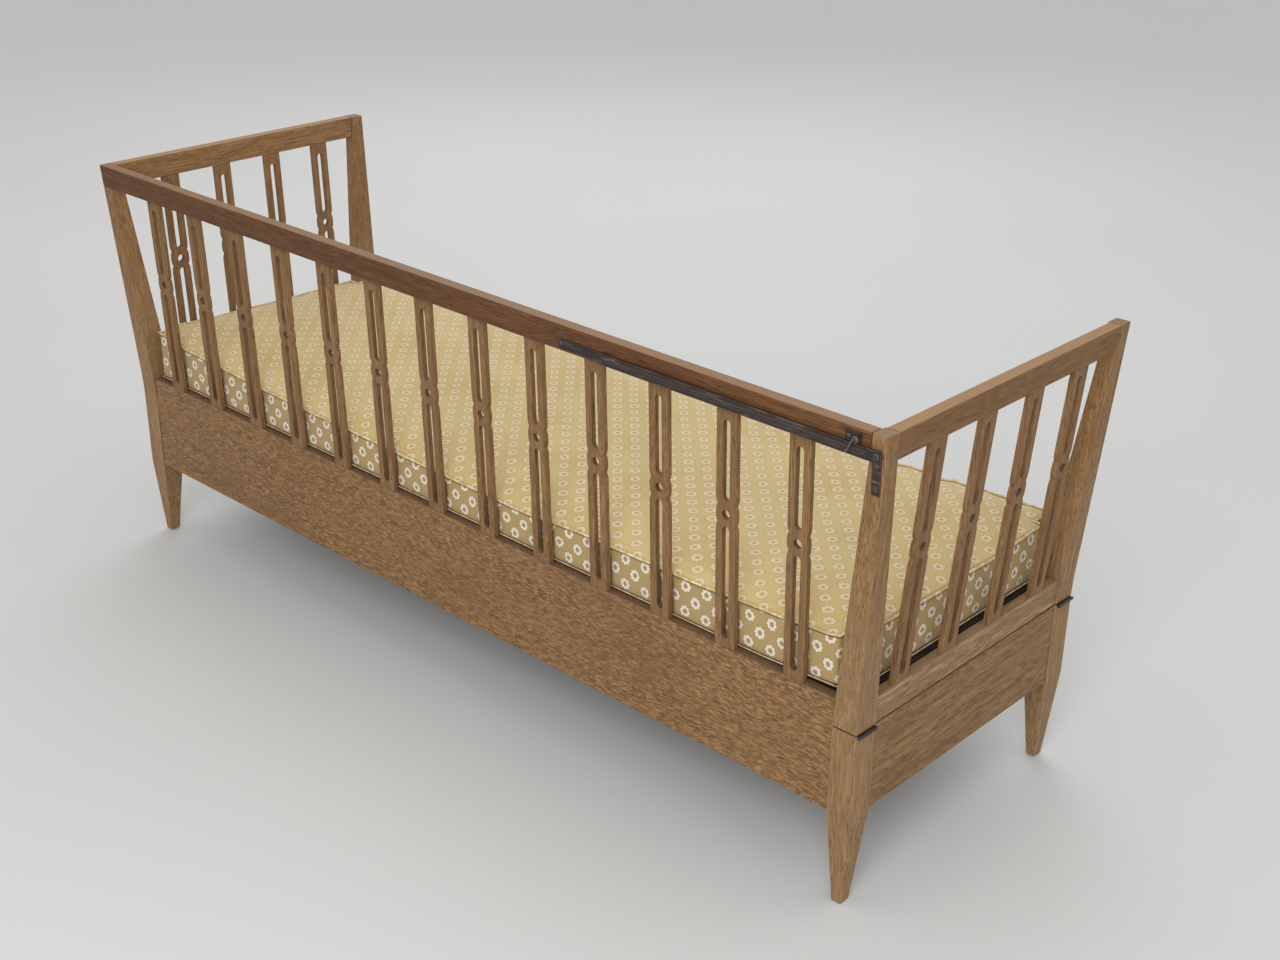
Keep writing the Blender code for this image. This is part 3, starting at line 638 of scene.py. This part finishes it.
def seam_height(x, y):
    """Height of the top seam at a point of the plan's edge."""
    nearness = {
        "back": abs(y - CUSHION_BACK), "front": abs(y - CUSHION_FRONT),
        "right": abs(x - CUSHION_RIGHT), "left": abs(x - CUSHION_LEFT),
    }
    heights = {
        "back": along_profile(BACK_SEAM, x), "front": along_profile(FRONT_SEAM, x),
        "right": along_profile(RIGHT_SEAM, y), "left": along_profile(LEFT_SEAM, y),
    }
    weights = {side: 1 / (distance + SEAM_BLEND) ** 2 for side, distance in nearness.items()}
    total = sum(weights.values())
    return sum(heights[side] * weights[side] for side in heights) / total


def floor_height(x, y):
    """Height of the bottom seam, which lifts off the frame towards the back right corner."""
    along = min(1, max(0, (x - CORNER_LIFT_START) / (NOTCH_X - CORNER_LIFT_START)))
    across = min(1, max(0, (CORNER_LIFT_DEPTH + CUSHION_BACK - y) / CORNER_LIFT_DEPTH))
    return CUSHION_FLOOR + CORNER_LIFT * along * across


def top_height(x, y, seam):
    """The crown over the seams, with a few soft hollows where people sat."""
    across = (y - CUSHION_BACK) / (CUSHION_FRONT - CUSHION_BACK) * 2 - 1
    along = (x - CUSHION_LEFT) / (CUSHION_RIGHT - CUSHION_LEFT) * 2 - 1
    crown = CROWN * (1 - across**4) * (1 - along**10)
    hollow = HOLLOW * math.sin(7.3 * x + 0.8) * math.cos(4.1 * y + 2.0 * x)
    return seam + crown + hollow * (1 - across**2) * (1 - along**8)


def relaxed_heights(grid, edge, heights):
    """Fills the heights between the fixed edge points by averaging neighbours."""
    values = heights.copy()
    free = grid & ~edge
    values[free] = values[edge].mean()
    for _ in range(RELAX_ROUNDS):
        around = np.zeros_like(values)
        count = np.zeros_like(values)
        for axis, way in ((0, 1), (0, -1), (1, 1), (1, -1)):
            around += np.roll(values * grid, way, axis)
            count += np.roll(grid.astype(float), way, axis)
        values[free] = (around / np.maximum(count, 1))[free]
    return values


def cushion_plan():
    """The plan's grid lines, its kept cells, and which grid points are used or on the edge."""
    xs = line(CUSHION_LEFT, CUSHION_RIGHT, (-NOTCH_X, NOTCH_X), CUSHION_STEP)
    ys = line(CUSHION_BACK, CUSHION_FRONT, (NOTCH_BACK, NOTCH_FRONT), CUSHION_STEP)
    cells = np.zeros((len(xs) - 1, len(ys) - 1), bool)
    for i in range(len(xs) - 1):
        for j in range(len(ys) - 1):
            cells[i, j] = in_outline((xs[i] + xs[i + 1]) / 2, (ys[j] + ys[j + 1]) / 2)
    padded = np.pad(cells, 1)
    corners = [padded[:-1, :-1], padded[1:, :-1], padded[:-1, 1:], padded[1:, 1:]]
    used = np.logical_or.reduce(corners)
    edge = used & ~np.logical_and.reduce(corners)
    return xs, ys, cells, used, edge


def edge_loop(cells):
    """Grid points round the plan's edge, in order, counter-clockwise from above."""
    follow = {}
    count_x, count_y = cells.shape
    for i in range(count_x):
        for j in range(count_y):
            if not cells[i, j]:
                continue
            for di, dj, start, end in (
                (0, -1, (i, j), (i + 1, j)), (1, 0, (i + 1, j), (i + 1, j + 1)),
                (0, 1, (i + 1, j + 1), (i, j + 1)), (-1, 0, (i, j + 1), (i, j)),
            ):
                ni, nj = i + di, j + dj
                inside = 0 <= ni < count_x and 0 <= nj < count_y and cells[ni, nj]
                if not inside:
                    follow[start] = end
    first = min(follow)
    loop = [first]
    while follow[loop[-1]] != first:
        loop.append(follow[loop[-1]])
    return loop


class Sheet:
    """The points, quads and cloth coordinates of a mesh as it grows."""

    def __init__(self):
        self.points = []
        self.faces = []
        self.cloth = []

    def add_point(self, x, y, z):
        self.points.append((x, y, z))
        return len(self.points) - 1

    def add_face(self, ring, cloth):
        self.faces.append(ring)
        self.cloth.append(cloth)


def add_panels(sheet, xs, ys, cells, used, tops):
    """The top and the bottom panel, and their vertex numbers by level and grid point."""
    numbers = {}
    spots = list(zip(*np.nonzero(used)))
    for i, j in spots:
        high = top_height(xs[i], ys[j], tops[i, j])
        numbers["top", i, j] = sheet.add_point(xs[i], ys[j], high)
    for i, j in spots:
        numbers["bottom", i, j] = sheet.add_point(xs[i], ys[j], floor_height(xs[i], ys[j]))
    for i, j in zip(*np.nonzero(cells)):
        ring = [(i, j), (i + 1, j), (i + 1, j + 1), (i, j + 1)]
        for level, way in (("top", ring), ("bottom", ring[::-1])):
            cloth = [(xs[a], ys[b]) for a, b in way]
            sheet.add_face([numbers[level, a, b] for a, b in way], cloth)
    return numbers


def band_column(sheet, low, high):
    """Vertex numbers from the bottom seam up to the top seam at one point of the edge."""
    x, y, floor = sheet.points[low]
    rise = sheet.points[high][2] - floor
    rows = range(1, BAND_ROWS)
    between = [sheet.add_point(x, y, floor + rise * (row / BAND_ROWS)) for row in rows]
    return [low, *between, high]


def add_band(sheet, loop, numbers):
    """The upright band between the seams, and its columns of vertex numbers."""
    columns = [band_column(sheet, numbers["bottom", i, j], numbers["top", i, j]) for i, j in loop]
    run = 0.0
    for column, following in zip(columns, columns[1:] + columns[:1]):
        here, there = (Vector(sheet.points[c[0]]) for c in (column, following))
        step = (here - there).length
        marks = [run, run + step, run + step, run]
        for row in range(BAND_ROWS):
            ring = [column[row], following[row], following[row + 1], column[row + 1]]
            sheet.add_face(ring, [(u, sheet.points[n][2]) for u, n in zip(marks, ring)])
        run += step
    return columns


def cushion_mesh(material):
    """Top panel, bottom panel and the band between them as one closed mesh of quads.

    Returns the object, its top and its bottom seam as lists of vertex numbers, and
    the set of vertices that the bottom panel and the seams hold still.
    """
    xs, ys, cells, used, edge = cushion_plan()
    seam = np.zeros(used.shape)
    for i, j in zip(*np.nonzero(edge)):
        seam[i, j] = seam_height(xs[i], ys[j])
    sheet = Sheet()
    numbers = add_panels(sheet, xs, ys, cells, used, relaxed_heights(used, edge, seam))
    columns = add_band(sheet, edge_loop(cells), numbers)
    made = from_lists("cushion", sheet.points, sheet.faces, material)
    layer = made.data.uv_layers.new(name="cloth")
    layer.data.foreach_set("uv", [value for ring in sheet.cloth for pair in ring for value in pair])
    bottom_seam = [column[0] for column in columns]
    top_seam = [column[-1] for column in columns]
    floor = [number for (level, _, _), number in numbers.items() if level == "bottom"]
    return made, top_seam, bottom_seam, {*bottom_seam, *top_seam, *floor}


def most_moves(points):
    """How far each point of the cushion may swell: little against the galleries."""
    limits = np.full(len(points), MOST_SWELL)
    limits[points[:, 1] < CUSHION_BACK + EDGE_MARGIN] = MOST_SWELL_BACK
    limits[points[:, 1] > CUSHION_FRONT - EDGE_MARGIN] = MOST_SWELL_FRONT
    limits[points[:, 0] > CUSHION_RIGHT - EDGE_MARGIN] = MOST_SWELL_ENDS
    limits[points[:, 0] < CUSHION_LEFT + EDGE_MARGIN] = MOST_SWELL_ENDS
    return limits


def add_cloth(made, held):
    """Makes the cushion a cloth under pressure that its held vertices pin."""
    group = made.vertex_groups.new(name="held")
    group.add(sorted(held), 1.0, "REPLACE")
    cloth = made.modifiers.new("cloth", "CLOTH")
    cloth.settings.vertex_group_mass = "held"
    cloth.settings.quality = 5
    cloth.settings.tension_stiffness = CLOTH_STIFFNESS
    cloth.settings.compression_stiffness = CLOTH_STIFFNESS
    cloth.settings.bending_stiffness = CLOTH_BENDING
    cloth.settings.shrink_min = -CLOTH_GROWTH
    cloth.settings.use_pressure = True
    cloth.settings.uniform_pressure_force = CLOTH_PRESSURE
    cloth.settings.effector_weights.gravity = 0.0
    cloth.collision_settings.use_collision = False
    cloth.point_cache.frame_start = 1
    cloth.point_cache.frame_end = CLOTH_FRAMES
    return cloth


def swell(made, held):
    """Inflates the panels between the seams with a cloth simulation, and caps it."""
    before = np.array([v.co for v in made.data.vertices])
    cloth = add_cloth(made, held)
    scene = bpy.context.scene
    for number in range(1, CLOTH_FRAMES + 1):
        scene.frame_set(number)
    graph = bpy.context.evaluated_depsgraph_get()
    after = np.array([v.co for v in made.evaluated_get(graph).data.vertices])
    made.modifiers.remove(cloth)
    scene.frame_set(1)
    move = after - before
    length = np.linalg.norm(move, axis=1)
    limit = most_moves(before)
    move *= (limit * np.tanh(length / limit) / np.maximum(length, 1e-9))[:, None]
    made.data.vertices.foreach_set("co", (before + move).ravel())
    made.data.update()


def pipe(name, path, radius, material):
    """A round cord along a closed path."""
    points, faces = [], []
    count = len(path)
    for k, here in enumerate(path):
        way = (path[(k + 1) % count] - path[k - 1]).normalized()
        side = way.cross(Vector((0, 0, 1))).normalized()
        up = side.cross(way)
        for turn in range(CORD_SIDES):
            angle = 2 * math.pi * turn / CORD_SIDES
            points.append(here + radius * (math.cos(angle) * side + math.sin(angle) * up))
    for k in range(count):
        for turn in range(CORD_SIDES):
            first, last = k * CORD_SIDES, (k + 1) % count * CORD_SIDES
            beside = (turn + 1) % CORD_SIDES
            faces.append([first + turn, first + beside, last + beside, last + turn])
    return from_lists(name, points, faces, material)


def seam_path(made, seam, rise):
    """The seam's points, pushed a little out of the cushion and up or down."""
    vertices = [made.data.vertices[n].co.copy() for n in seam]
    path = []
    for k, here in enumerate(vertices):
        way = (vertices[(k + 1) % len(vertices)] - vertices[k - 1]).normalized()
        outward = Vector((way.y, -way.x, 0)).normalized()
        path.append(here + outward * CORD_OUT + Vector((0, 0, rise)))
    return path


def soft_cushion():
    made, top_seam, bottom_seam, held = cushion_mesh(damask("damask_cloth"))
    # The top cord takes painted shade only where it faces down, the bottom cord wherever it faces less than
    # steeply up.
    mostly_lit_trim = piping_cloth("piping_mostly_lit", 0.10)
    mostly_shaded_trim = piping_cloth("piping_mostly_shaded", 0.75)
    swell(made, held)
    top = pipe("piping_top", seam_path(made, top_seam, TOP_CORD_RISE), TOP_CORD, mostly_lit_trim)
    low_path = seam_path(made, bottom_seam, BOTTOM_CORD_RISE)
    bottom = pipe("piping_bottom", low_path, BOTTOM_CORD, mostly_shaded_trim)
    smooth = made.modifiers.new("smooth", "SUBSURF")
    smooth.levels = 1
    smooth.render_levels = 1
    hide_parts("mattress")
    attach(made, "base")
    for cord in (top, bottom):
        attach(cord, "base")


# -------------------------------------------------------------------- screws


def domed_head(name, radius, material):
    """A low domed screw head that stands on the plane z = 0."""
    maker = bmesh.new()
    profile = [maker.verts.new((radius * r, 0, radius * h)) for r, h in HEAD_PROFILE]
    edges = [maker.edges.new(pair) for pair in zip(profile, profile[1:])]
    turned = {"cent": (0, 0, 0), "axis": (0, 0, 1), "angle": 2 * math.pi, "steps": HEAD_STEPS}
    bmesh.ops.spin(maker, geom=profile + edges, **turned)
    bmesh.ops.remove_doubles(maker, verts=maker.verts, dist=radius * 0.01)
    bmesh.ops.holes_fill(maker, edges=maker.edges)
    bmesh.ops.recalc_face_normals(maker, faces=maker.faces)
    mesh = bpy.data.meshes.new(name)
    maker.to_mesh(mesh)
    maker.free()
    mesh.shade_smooth()
    mesh.set_sharp_from_angle(angle=math.radians(35))
    return new_object(name, mesh, material)


def cut_slot(head, radius):
    """Cuts the driver's slot across a head."""
    mesh = bpy.data.meshes.new("slot")
    maker = bmesh.new()
    size = Matrix.Diagonal((*(radius * share for share in SLOT_SIZE), 1))
    place = Matrix.Translation((0, 0, radius * SLOT_HEIGHT))
    bmesh.ops.create_cube(maker, size=1, matrix=place @ size)
    maker.to_mesh(mesh)
    maker.free()
    cutter = bpy.data.objects.new("slot", mesh)
    bpy.context.scene.collection.objects.link(cutter)
    cut = head.modifiers.new("slot", "BOOLEAN")
    cut.operation = "DIFFERENCE"
    cut.object = cutter
    bpy.context.view_layer.update()
    graph = bpy.context.evaluated_depsgraph_get()
    carved = bpy.data.meshes.new_from_object(head.evaluated_get(graph))
    head.modifiers.clear()
    head.data = carved
    bpy.data.objects.remove(cutter)


def screw_head(name, place, normal, radius, turn, material, body):
    """A slotted screw head that stands on a face of a body."""
    head = domed_head(name, radius, material)
    cut_slot(head, radius)
    facing = normal.normalized().to_track_quat("Z", "Y").to_matrix().to_4x4()
    head.matrix_world = Matrix.Translation(place) @ facing @ Matrix.Rotation(turn, 4, "Z")
    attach(head, body)


def add_screws():
    steel = iron("screw_heads", linear(74, 70, 70), linear(170, 165, 160), 0.36, 0.6)
    outwards = Vector((0, -1, -GALLERY_LEAN))
    low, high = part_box("stay_bracket")
    x = (low.x + high.x) / 2
    for name, height, turn in BRACKET_SCREWS:
        face = low.y + GALLERY_LEAN * (high.z - height)
        place = (x, face + BRACKET_SCREW_GAP, height)
        screw_head(name, place, outwards, BRACKET_SCREW_RADIUS, turn, steel, "end_gallery")
    plate_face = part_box("stay_pivot_screw")[0].y + CATCH_PLATE_DEPTH
    place = (CATCH_SCREW_X, plate_face, CATCH_SCREW_HEIGHT)
    screw_head("catch_screw", place, outwards, CATCH_SCREW_RADIUS, CATCH_SCREW_TURN, steel, "base")


# --------------------------------------------------------------------- scene


def frame_materials():
    """Each material of the frame, with the starts of the names of its pieces."""
    for starts, settings in OAKS:
        yield starts, oak(**settings)
    for starts, name, base, worn, roughness, wear in IRONS:
        yield starts, iron(name, linear(*base), linear(*worn), roughness, wear)
    for starts, name, pale, ringed in SOFTWOODS:
        yield starts, softwood(name, linear(*pale), linear(*ringed))


def paint_frame(nodes):
    """Gives every visible CAD node its finished material."""
    for starts, material in frame_materials():
        for name, piece in nodes.items():
            if name.startswith(starts):
                piece.data.materials.clear()
                piece.data.materials.append(material)


def add_floor():
    mesh = bpy.data.meshes.new("floor")
    signs = ((-1, -1), (1, -1), (1, 1), (-1, 1))
    corners = [(x * FLOOR_REACH, y * FLOOR_REACH, -FLOOR_DROP) for x, y in signs]
    mesh.from_pydata(corners, [], [(0, 1, 2, 3)])
    new_object("floor", mesh, pale_floor("floor_paint"))


def add_light():
    """A soft sky and two large lamps."""
    world = bpy.data.worlds.new("studio")
    world.use_nodes = True
    sky = world.node_tree.nodes["Background"]
    sky.inputs["Color"].default_value = SKY_COLOUR
    sky.inputs["Strength"].default_value = SKY_STRENGTH
    bpy.context.scene.world = world
    for name, place, size, power in LAMPS:
        lamp = bpy.data.lights.new(name, "AREA")
        lamp.shape = "DISK"
        lamp.size = size
        lamp.energy = power
        holder = bpy.data.objects.new(name, lamp)
        holder.location = place
        aim = Vector(LAMP_TARGET) - Vector(place)
        holder.rotation_euler = aim.to_track_quat("-Z", "Y").to_euler()
        bpy.context.scene.collection.objects.link(holder)


def set_camera():
    forward = Vector((
        -math.sin(CAMERA_AZIMUTH) * math.cos(CAMERA_TILT),
        math.cos(CAMERA_AZIMUTH) * math.cos(CAMERA_TILT),
        math.sin(CAMERA_TILT),
    ))
    level = forward.cross(Vector((0, 0, 1))).normalized()
    above = level.cross(forward)
    right = math.cos(CAMERA_ROLL) * level + math.sin(CAMERA_ROLL) * above
    up = math.cos(CAMERA_ROLL) * above - math.sin(CAMERA_ROLL) * level
    facing = Matrix((right, up, -forward)).transposed().to_4x4()
    lens = bpy.data.cameras.new("camera")
    lens.lens = CAMERA_LENS
    lens.sensor_width = SENSOR_WIDTH
    lens.clip_end = FARTHEST_SEEN
    holder = bpy.data.objects.new("camera", lens)
    bpy.context.scene.collection.objects.link(holder)
    holder.matrix_world = Matrix.Translation(CAMERA_PLACE) @ facing
    bpy.context.scene.camera = holder


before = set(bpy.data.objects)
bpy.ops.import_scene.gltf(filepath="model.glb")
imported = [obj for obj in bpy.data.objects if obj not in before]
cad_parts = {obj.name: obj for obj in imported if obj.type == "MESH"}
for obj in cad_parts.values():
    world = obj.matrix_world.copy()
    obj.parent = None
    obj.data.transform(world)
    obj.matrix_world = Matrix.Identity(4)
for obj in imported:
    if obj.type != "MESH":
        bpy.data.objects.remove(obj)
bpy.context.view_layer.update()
bpy.context.scene.view_settings.view_transform = "Standard"
set_camera()
add_floor()
add_light()
paint_frame(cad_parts)
soft_cushion()
add_screws()
